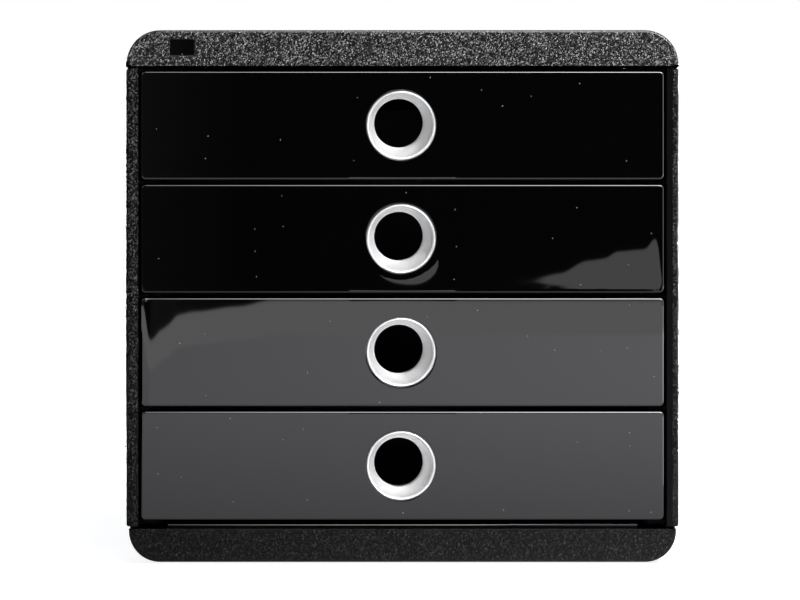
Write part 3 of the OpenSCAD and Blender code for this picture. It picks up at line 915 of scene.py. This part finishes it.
# Half the width of the fine mesh round a ring
RING_MESH = 27 * MM
# A front's mesh: columns to one side of a ring and across half of it, rows up half a front, steps round a corner and
# a rounded edge, steps round the ring hole's edge, and rows between a ring's hole and the square round it
SIDE_COLUMNS, RING_COLUMNS, HALF_ROWS, TURN_STEPS, HOLE_STEPS, HOLE_ROWS = 56, 20, 14, 6, 3, 20
# A staked head: shares of the post's radius and of the head's height
HEAD_SHAPE = ((0.98, 0), (1, 0.2), (0.92, 0.6), (0.7, 0.9), (0.3, 1))


def smooth_step(share):
    """0 to 1 with level ends."""
    share = min(1.0, max(0.0, share))
    return share * share * (3 - 2 * share)


def lean_at(stations, distance):
    """A front's lean at a distance from the middle."""
    if distance <= stations[0][0]:
        return 0.0
    for (a, lean_a), (b, lean_b) in zip(stations, stations[1:]):
        if distance <= b:
            return (lean_a + (lean_b - lean_a) * smooth_step((distance - a) / (b - a))) * THOUSANDTH
    return stations[-1][1] * THOUSANDTH


def face_warp(drawer, x, z, half_h, ring_x):
    """How far a front's face lies behind its flat shape, at x and z from its middle."""
    depth = 0.0
    stations = LEANS.get((drawer, 1 if x > 0 else -1))
    if stations:
        share = min(1.0, max(0.0, (z + half_h) / LEAN_FADE))
        start = LEAN_FADE - half_h
        rise = z if share == 1 else start - LEAN_FADE * (0.5 - share**3 + share**4 / 2)
        depth += lean_at(stations, abs(x)) * rise
    if drawer in SWELLING:
        slope, more, where, narrow, radius, outwards, inwards = SWELLING[drawer]
        slope += more * max(0.0, math.cos(math.atan2(z, x - ring_x) - where)) ** narrow
        away = math.hypot(x - ring_x, z) - radius
        depth -= slope * outwards * math.exp(-abs(away) / (outwards if away > 0 else inwards))
    return depth


def front_layout(half_w, half_h, corner):
    """Stations round a front, each a corner's middle and a direction outwards, from the lower right corner on.

    Also the stations up its right end, and the columns of the face to one side of the ring and across it.
    """
    far, up = half_w - corner, half_h - corner
    outer = [RING_MESH + (far - RING_MESH) * (1 - (1 - i / SIDE_COLUMNS) ** 1.5) for i in range(SIDE_COLUMNS + 1)]
    inner = [RING_MESH * i / RING_COLUMNS for i in range(1 - RING_COLUMNS, RING_COLUMNS)]
    turns = [math.radians(90 * i / TURN_STEPS) for i in range(1, TURN_STEPS)]
    right = [(far, -up, 0, -1)] + [(far, -up, math.sin(a), -math.cos(a)) for a in turns]
    right += [(far, up * i / HALF_ROWS, 1, 0) for i in range(-HALF_ROWS, HALF_ROWS + 1)]
    right += [(far, up, math.cos(a), math.sin(a)) for a in turns] + [(far, up, 0, 1)]
    columns = [-x for x in reversed(outer)] + inner + outer
    half = right + [(x, up, 0, 1) for x in reversed(columns[1:-1])]
    return half + [(-cx, -cz, -dx, -dz) for cx, cz, dx, dz in half], right, outer, inner


def add_grid(work, rows):
    """Adds rows of points to a mesh, with faces between them."""
    grid = [[work.verts.new(point) for point in row] for row in rows]
    for row, following in zip(grid, grid[1:]):
        for i in range(len(row) - 1):
            work.faces.new((row[i], row[i + 1], following[i + 1], following[i]))


def make_front(name, node, settings, ring, drawer):
    """A glossy front: its face and back as fine grids, its rims round them, and the tube of the ring's hole."""
    low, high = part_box(node)
    face_y, middle_z = low.y, middle_of(node)[2]
    half_w, half_h = high.x, (high.z - low.z) / 2
    corner, edge, skirt, small = settings.corner, settings.edge_round, settings.skirt, 0.15 * MM
    inner_y, rear_y = face_y + settings.wall, face_y + settings.depth
    hole, hole_round = ring.outer / 2 + settings.ring_gap, settings.hole_round
    ring_x, _, ring_z = middle_of(f"finger_ring_{drawer}")
    ring_z -= middle_z
    layout, right, outer, inner = front_layout(half_w, half_h, corner)
    work = bmesh.new()

    def place(x, z, y, warped):
        """A point of the front, at a depth behind its face's shape or its flat place."""
        return (x, y + warped * face_warp(drawer, x, z, half_h, ring_x), middle_z + z)

    def rim(inset, y, warped=1.0):
        """The front's outline, drawn in by inset."""
        r = corner - inset
        loop = [place(cx + r * dx, cz + r * dz, y, warped) for cx, cz, dx, dz in layout]
        return loop + loop[:1]

    def circle(r, y, warped=0.0):
        """A circle round the ring, whose points face those of the square round it."""
        count, turn = 4 * (len(right) - 1), math.radians(45)
        angles = [2 * math.pi * k / count - turn for k in range(count + 1)]
        return [place(ring_x + r * math.cos(a), ring_z + r * math.sin(a), y, warped) for a in angles]

    def face(inset, hole_r, y, warped):
        """A flat side of the front, from its outline to its hole."""
        r = corner - inset
        rows = [(cz + r * dz, cx + r * dx) for cx, cz, dx, dz in right]
        far = outer[-1]
        for side in (-1, 1):
            grid = []
            for z, end in rows:
                stretch = (end - RING_MESH) / (far - RING_MESH)
                grid.append([place(side * (RING_MESH + (x - RING_MESH) * stretch), z, y, warped) for x in outer])
            add_grid(work, grid)
        half = [(RING_MESH, z) for z, end in rows] + [(x, rows[-1][0]) for x in reversed(inner)]
        square = half + [(-x, -z) for x, z in half]
        square.append(square[0])
        round_hole = circle(hole_r, y)
        grid = []
        for i in range(HOLE_ROWS + 1):
            share = i / HOLE_ROWS
            loop = []
            for (x, z), (hx, _, hz) in zip(square, round_hole):
                loop.append(place(hx + (x - hx) * share, hz - middle_z + (z + middle_z - hz) * share, y, warped))
            grid.append(loop)
        add_grid(work, grid)

    face(edge, hole + hole_round, face_y, 1.0)
    rims = [rim(inset, face_y + back) for inset, back in rounding(edge, TURN_STEPS)]
    rims += [rim(0, face_y + edge + small), rim(0, rear_y - small, 0), rim(small, rear_y, 0)]
    rims += [rim(skirt, rear_y, 0), rim(skirt, inner_y + small, 0), rim(skirt + small, inner_y, 0)]
    add_grid(work, rims)
    tube = [circle(hole + out, face_y + back, 1.0) for out, back in rounding(hole_round, HOLE_STEPS)]
    add_grid(work, tube + [circle(hole, inner_y)])
    face(skirt + small, hole, inner_y, 0.0)
    bmesh.ops.remove_doubles(work, verts=work.verts, dist=0.001 * MM)
    bmesh.ops.recalc_face_normals(work, faces=work.faces)
    mesh = bpy.data.meshes.new(name)
    work.to_mesh(mesh)
    work.free()
    return shade(add_object(name, mesh), 50.0)


def staked_heads(name, node, settings):
    """The rounded heads of a front's posts, inside the tray."""
    low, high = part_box(node)
    r, head = settings.post / 2, 1 * MM
    heads = []
    for x in (low.x + settings.post_in, high.x - settings.post_in):
        for z in (low.z + settings.post_edge, high.z - settings.post_edge):
            loops = [upright(circle_points(x, z, r * out, 24), high.y - head + head * rise)
                     for out, rise in HEAD_SHAPE]
            heads.append(skin(f"{name}_head", loops))
    return heads


class FilingAddFronts(bpy.types.Operator):
    """Adds the four glossy drawer fronts"""

    bl_idname = "filing.add_fronts"
    bl_label = "Add drawer fronts"

    def execute(self, context):
        """Builds each front with its staked heads."""
        settings = context.scene.filing_front
        for drawer in DRAWERS:
            node = f"drawer_front_{drawer}"
            name = f"glossy_front_{drawer}"
            front = make_front(name, node, settings, context.scene.filing_ring, drawer)
            join(front, *staked_heads(name, node, settings))
            # Drawer 2's front gets the shaded copy of the plastic: painted shade on its reflection
            plastic = polished_black("shaded_copy_black", settings.shaded_copy_shine) if drawer == 2 else polished_black()
            finish_piece(front, f"drawer_{drawer}", "front_gloss", plastic, node)
        return {"FINISHED"}


# -------------------------------------------------------------------------------- finger rings


# A ring's lip in millimetres: how far in from its outer edge and how deep, then how far in from its inner edge and
# how deep, where a sunk groove follows, and where the funnel starts
LIP_OUTSIDE = ((0, 0.32), (0.04, 0.14), (0.14, 0.03))
LIP_INSIDE = ((-0.12, 0.04), (0, 0.16), (0.03, 0.6), (0.08, 0.75), (0.2, 0.75), (0.26, 0.6))
FUNNEL_START = (0.36, 0.5)
# The share of the hole's offset that its tube reaches at the ring's rear end
TUBE_SHIFT = 1.4
# Steps round a ring and along its funnel, and the turn of its rounding at the finger hole, in degrees
RING_STEPS, FUNNEL_STEPS, HOLE_TURNS = 144, 14, (20, 45, 70, 90)


def ring_profile(settings, body, neck):
    """Radius, depth behind the lip and share of the hole's offset, from the lip through the hole and back outside."""
    outer, hole, funnel = settings.outer / 2, settings.hole / 2, settings.funnel
    inner, edge, small = outer - settings.lip, 0.15 * MM, 0.3 * MM
    crest = [(outer - r * MM, depth * MM, 0) for r, depth in LIP_OUTSIDE] + [(outer - settings.lip / 2, 0, 0)]
    crest += [(inner - r * MM, depth * MM, 0) for r, depth in LIP_INSIDE]
    start_r, start_d = inner - FUNNEL_START[0] * MM, FUNNEL_START[1] * MM
    wall = []
    for i in range(FUNNEL_STEPS + 1):
        share = i / FUNNEL_STEPS
        depth = start_d + (funnel - start_d) * share
        radius = start_r + (hole + edge - start_r) * share + settings.bulge * math.sin(math.pi * share)
        wall.append((radius, depth, depth / funnel))
    turns = [math.radians(a) for a in HOLE_TURNS]
    rim = [(hole + edge * (1 - math.sin(a)), funnel + edge * (1 - math.cos(a)), 1) for a in turns]
    tube = [(hole - edge, neck - small, TUBE_SHIFT), (hole, neck, TUBE_SHIFT)]
    neck_r, collar_r = settings.neck / 2, settings.collar / 2
    collar = settings.proud + bpy.context.scene.filing_front.wall
    behind = collar + settings.collar_wall
    outside = [(neck_r - small, neck, 0), (neck_r, neck - small, 0), (neck_r, body, 0), (outer - small, body, 0),
               (outer, body - small, 0), (outer, behind, 0), (collar_r, behind, 0), (collar_r, collar, 0),
               (outer, collar, 0)]
    return crest + wall + rim + tube + outside


def make_ring(name, node, settings):
    """A finger ring, turned about its axis, with its funnel leaning to the hole's place."""
    low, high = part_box(node)
    x, _, z = middle_of(node)
    neck = high.y - low.y
    body = neck - bpy.context.scene.filing_tray.wall - settings.proud
    loops = []
    for radius, depth, share in ring_profile(settings, body, neck):
        cx, cz = x - settings.hole_left * share, z + settings.hole_up * share
        loops.append(upright(circle_points(cx, cz, radius, RING_STEPS), low.y + depth))
    return shade(skin(name, loops, closed=True), 35.0)


class FilingAddRings(bpy.types.Operator):
    """Adds the four silver finger rings"""

    bl_idname = "filing.add_rings"
    bl_label = "Add finger rings"

    def execute(self, context):
        """Builds each ring."""
        for drawer in DRAWERS:
            node = f"finger_ring_{drawer}"
            ring = make_ring(f"silver_ring_{drawer}", node, context.scene.filing_ring)
            finish_piece(ring, f"drawer_{drawer}", "ring_satin", satin_silver(), node)
        return {"FINISHED"}


# -------------------------------------------------------------------------------- drawer trays


def make_tray(name, node, settings):
    """A drafted tray with a beaded rim, open at the top, with the ring's hole in its front wall."""
    low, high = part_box(node)
    height = high.z - low.z
    half, wall, corner, bottom = settings.half_width, settings.wall, settings.corner, settings.bottom_round

    def plan(z, inset, draft):
        """The tray's outline at a height above its underside."""
        side = inset + draft
        r = max(corner - inset, MM)
        loop = rounded_loop(-half + side, low.y + inset, half - side, high.y - side, r)
        return [(x, y, low.z + z) for x, y in loop]

    draft, bead, small = settings.draft, settings.bead, 0.3 * MM
    loops = [plan(rise, inset, draft) for inset, rise in rounding(bottom, 6)]
    below = height - settings.bead_height
    loops += [plan(below, 0, draft * settings.bead_height / height), plan(below, 0, -bead + small)]
    loops += [plan(below + small, 0, -bead), plan(height - small, 0, -bead), plan(height, small, -bead)]
    loops += [plan(height, wall - small, 0), plan(height - small, wall, 0)]
    inner = bottom - wall / 2
    loops += [plan(settings.floor + rise, wall + inset, draft) for rise, inset in rounding(inner, 5)]
    tray = skin(name, loops)
    hole = bpy.context.scene.filing_ring.neck / 2 + bpy.context.scene.filing_front.ring_gap
    cx, _, cz = middle_of(node.replace("drawer_tray", "finger_ring"))
    circle = circle_points(cx, cz, hole, 72)
    cut(tray, skin("neck_hole", [upright(circle, y) for y in (low.y - MM, low.y + wall + MM)]))
    lugs = [stop_lug(name, side, low, height, settings) for side in (-1, 1)]
    return shade(join(tray, *lugs), 40.0)


def stop_lug(name, side, low, height, settings):
    """A lug on the tray's side that meets the side panel's border when the drawer is fully open."""
    root = settings.half_width - settings.wall / 2 - settings.draft
    tip, start, size = settings.lug_reach, settings.lug_start, settings.lug_length
    outline = [(root, start), (tip, start), (tip, start + size / 3), (root, start + size)]
    bottom = low.z + (height - settings.lug_height) / 2
    return prism(name + "_lug", [(side * x, y) for x, y in outline], bottom, bottom + settings.lug_height)


class FilingAddTrays(bpy.types.Operator):
    """Adds the four drawer trays and the low ribs that the sheets lie on"""

    bl_idname = "filing.add_trays"
    bl_label = "Add drawer trays"

    def execute(self, context):
        """Builds each tray and its ribs."""
        settings = context.scene.filing_tray
        plastic = tray_black()
        for drawer in DRAWERS:
            node = f"drawer_tray_{drawer}"
            tray = make_tray(f"moulded_tray_{drawer}", node, settings)
            finish_piece(tray, f"drawer_{drawer}", "tray", plastic, node)
            ribs = self.make_ribs(f"tray_ribs_{drawer}", node, settings, plastic)
            finish_piece(ribs, f"drawer_{drawer}", "tray", plastic)
        return {"FINISHED"}

    def make_ribs(self, name, node, settings, plastic):
        """Low ribs on a tray's floor."""
        low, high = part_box(node)
        side = int((settings.half_width - settings.corner - settings.draft) / settings.rib_pitch)
        inside = settings.wall + settings.corner
        size = (settings.rib_width, high.y - low.y - 2 * inside, settings.rib_height + settings.floor / 2)
        start = (-side * settings.rib_pitch, (low.y + high.y) / 2,
                 low.z + settings.floor + settings.rib_height - size[2] / 2)
        return rib_row(name, 2 * side + 1, start, (settings.rib_pitch, 0, 0), size, plastic)


# -------------------------------------------------------------------------------- stage


# Between these distances from the middle the floor's own light goes from its glow near the box to its far glow
FLOOR_FADE, FAR_GLOW = (0.5, 1.6), 1.05
# The light that the floor throws up dies away over its reach, and grows from left to right along its ramp
BOUNCE_REACH, BOUNCE_RAMP = 0.35, (-0.15, 0.15)
# The floor that the fronts mirror is dimmer by a share close by, over its reach, and brighter to the right by a slope
MIRROR_DIP, MIRROR_REACH, MIRROR_SLOPE = 0.55, 1.1, 2.0
# The room that the fronts mirror: where its horizon lies, and where its left side brightens, and by how much
HORIZON, LEFT_RAMP, LEFT_GLOW = (-0.0004, 0.0002), (-0.045, -0.085), 0.09
# The card overhead: two of its corners, and how it brightens from left to right, by shares of its glow
CARD_LOW, CARD_HIGH = (-1.0, -2.2, 1.70), (1.4, -0.25, 1.71)
CARD_RAMP, CARD_SHARES = (-0.4, 0.4), (0.02, 2)
# The soft lights: name, place, width, height, watts, and whether matte surfaces show their light
LAMPS = (
    ("key_upper_right", (0.5, -0.6, 0.75), 0.25, 0.25, 6, True),
    ("front_top", (0.35, -0.75, 1.45), 1.2, 0.7, 14, True),
    ("glint_right", (0.75, -0.45, 0.35), 0.9, 0.9, 12, False),
    ("glint_left", (-0.9, -0.8, 1.0), 0.3, 0.9, 6, False),
)


def bare_material(name):
    """A new material whose node tree is empty."""
    material = bpy.data.materials.new(name)
    material.use_nodes = True
    material.node_tree.nodes.clear()
    return material


def glow_node(tree, kind, tint, strength):
    """The shader of an Emission or a Background node."""
    node = new_node(tree, kind)
    feed(tree, (node.inputs["Color"], node.inputs["Strength"]), ((*tint, 1.0), strength))
    return node.outputs[0]


def mix_shaders(tree, factor, a, b):
    """A shader between two, by a factor socket."""
    node = new_node(tree, "MixShader")
    feed(tree, node.inputs, (factor, a, b))
    return node.outputs[0]


def show(tree, kind, shader):
    """Links a shader to a new output node."""
    tree.links.new(shader, new_node(tree, "Output" + kind).inputs["Surface"])


def pale_floor(settings):
    """A plain pale floor. It clips to white round the object, and is brightest far off where the fronts mirror it."""
    material = bare_material("pale_floor")
    tree = material.node_tree
    path, place = new_node(tree, "LightPath"), object_place(tree)
    parts = split_node(tree, "XYZ", place)
    x, y = parts["X"], parts["Y"]
    away = vector_node(tree, "LENGTH", place)
    plain = map_range(tree, away, *FLOOR_FADE, settings.floor_glow, FAR_GLOW)
    close = math_node(tree, "EXPONENT", math_node(tree, "DIVIDE", away, -BOUNCE_REACH))
    share = map_range(tree, x, *BOUNCE_RAMP, 0.0, 2 * settings.bounce)
    bounce = math_node(tree, "MULTIPLY", math_node(tree, "MULTIPLY", close, path.outputs["Is Diffuse Ray"]), share)
    matte, both = new_node(tree, "BsdfDiffuse"), new_node(tree, "AddShader")
    matte.inputs["Color"].default_value = (0.8, 0.8, 0.8, 1)
    glow = glow_node(tree, "Emission", (0.985, 0.99, 1.0), math_node(tree, "ADD", plain, bounce))
    feed(tree, both.inputs, (matte.outputs[0], glow))
    ahead = math_node(tree, "MULTIPLY", y, -1.0)
    near = math_node(tree, "EXPONENT", math_node(tree, "DIVIDE", y, MIRROR_REACH))
    far = math_node(tree, "SUBTRACT", 1.0, math_node(tree, "MULTIPLY", near, MIRROR_DIP))
    across = math_node(tree, "DIVIDE", x, math_node(tree, "ADD", ahead, settings.distance))
    side = math_node(tree, "ADD", 1.0, math_node(tree, "MULTIPLY", across, MIRROR_SLOPE))
    level = math_node(tree, "MULTIPLY", math_node(tree, "MULTIPLY", far, side), settings.mirrored_glow)
    mirrored = glow_node(tree, "Emission", (0.985, 0.97, 1.03), level)
    show(tree, "Material", mix_shaders(tree, path.outputs["Is Glossy Ray"], both.outputs[0], mirrored))
    return material


def softbox(name, place, target, width, height, power):
    """An area light at a place, turned to a target."""
    data = bpy.data.lights.new(name, "AREA")
    data.shape = "RECTANGLE"
    data.size, data.size_y = width, height
    data.energy = power
    lamp = bpy.data.objects.new(name, data)
    bpy.context.scene.collection.objects.link(lamp)
    lamp.location = place
    lamp.rotation_euler = (Vector(target) - Vector(place)).to_track_quat("-Z", "Y").to_euler()
    return lamp


def reflector(settings):
    """A pale card overhead that only glossy surfaces show, brighter to the right: it draws their upper edges."""
    card = block("overhead_card", CARD_LOW, CARD_HIGH)
    material = bare_material("overhead_card")
    tree = material.node_tree
    x = split_node(tree, "XYZ", object_place(tree))["X"]
    level = map_range(tree, x, *CARD_RAMP, *(share * settings.card_glow for share in CARD_SHARES))
    show(tree, "Material", glow_node(tree, "Emission", (1, 1, 1), level))
    card.data.materials.append(material)
    card.visible_camera = card.visible_diffuse = card.visible_shadow = False


def studio_air(world, settings):
    """White behind the object where the camera looks. The fronts mirror a dim room over a bright floor."""
    world.use_nodes = True
    tree = world.node_tree
    tree.nodes.clear()
    path = new_node(tree, "LightPath")
    place = split_node(tree, "XYZ", new_node(tree, "TexCoord").outputs["Generated"])
    below = map_range(tree, place["Z"], *HORIZON, settings.mirrored_glow, 0.0)
    left = map_range(tree, place["X"], *LEFT_RAMP, 0.0, LEFT_GLOW)
    level = math_node(tree, "ADD", math_node(tree, "ADD", below, left), settings.room_glow)
    room = glow_node(tree, "Background", (0.985, 0.98, 1.0), level)
    seen = glow_node(tree, "Background", (1, 1, 1), 1.0)
    show(tree, "World", mix_shaders(tree, path.outputs["Is Camera Ray"], room, seen))


class FilingAddStage(bpy.types.Operator):
    """Adds the pale floor, the soft lights and the camera"""

    bl_idname = "filing.add_stage"
    bl_label = "Add stage"

    def execute(self, context):
        """Builds the floor, the room, the lights and the camera."""
        settings = context.scene.filing_stage
        half = settings.floor_size / 2
        floor = block("floor", (-half, -half, -20 * MM), (half, half, 0.0))
        floor.data.materials.append(pale_floor(settings))
        world = bpy.data.worlds.new("studio")
        context.scene.world = world
        studio_air(world, settings)
        middle = (0, 0, (BOX_LOW.z + BOX_HIGH.z) / 2)
        for name, place, width, height, power, matte in LAMPS:
            softbox(name, place, middle, width, height, power).visible_diffuse = matte
        reflector(settings)
        self.add_camera(context, settings)
        context.scene.view_settings.view_transform = "Standard"
        return {"FINISHED"}

    def add_camera(self, context, settings):
        """The camera, square to the box's front, placed by where the photograph shows the box."""
        data = bpy.data.cameras.new("camera")
        camera = bpy.data.objects.new("camera", data)
        context.scene.collection.objects.link(camera)
        data.sensor_width = 36
        data.lens = settings.scale / MM * settings.distance * data.sensor_width / PHOTO_W
        data.clip_end = 50
        across = (PHOTO_W / 2 - settings.middle_x) * MM / settings.scale
        level = BASE_LOW.z + (settings.base_row - PHOTO_H / 2) * MM / settings.scale
        camera.location = (across, BOX_LOW.y - settings.distance, level)
        camera.rotation_euler = (math.radians(90), 0, 0)
        context.scene.camera = camera


class FilingPanel(bpy.types.Panel):
    """The filing box's tab in the sidebar"""

    bl_idname = "VIEW3D_PT_filing_box"
    bl_label = "Filing box"
    bl_space_type = "VIEW_3D"
    bl_region_type = "UI"
    bl_category = "Filing box"

    def draw(self, context):
        """Draws a button for each operator and a title for each group of settings."""
        for operator in OPERATORS:
            self.layout.operator(operator.bl_idname)
        for group in SETTINGS:
            self.layout.label(text=group.title())


SETTINGS = {
    "filing_housing": FilingHousingSettings,
    "filing_front": FilingFrontSettings,
    "filing_ring": FilingRingSettings,
    "filing_tray": FilingTraySettings,
    "filing_stage": FilingStageSettings,
}
OPERATORS = (FilingAddStage, FilingAddCovers, FilingAddPanels, FilingAddFeet, FilingAddFronts, FilingAddRings,
             FilingAddTrays)


def register():
    """Registers the settings, the operators and the panel."""
    for group in SETTINGS.values():
        bpy.utils.register_class(group)
    for name, group in SETTINGS.items():
        setattr(bpy.types.Scene, name, bpy.props.PointerProperty(type=group))
    for operator in OPERATORS:
        bpy.utils.register_class(operator)
    bpy.utils.register_class(FilingPanel)


def unregister():
    """Takes back what register did."""
    bpy.utils.unregister_class(FilingPanel)
    for operator in reversed(OPERATORS):
        bpy.utils.unregister_class(operator)
    for name, group in SETTINGS.items():
        delattr(bpy.types.Scene, name)
        bpy.utils.unregister_class(group)


def main():
    """Builds the box on its frame."""
    register()
    bpy.ops.filing.add_stage()
    bpy.ops.filing.add_covers()
    bpy.ops.filing.add_panels()
    bpy.ops.filing.add_feet()
    bpy.ops.filing.add_fronts()
    bpy.ops.filing.add_rings()
    bpy.ops.filing.add_trays()


if __name__ == "__main__":
    main()
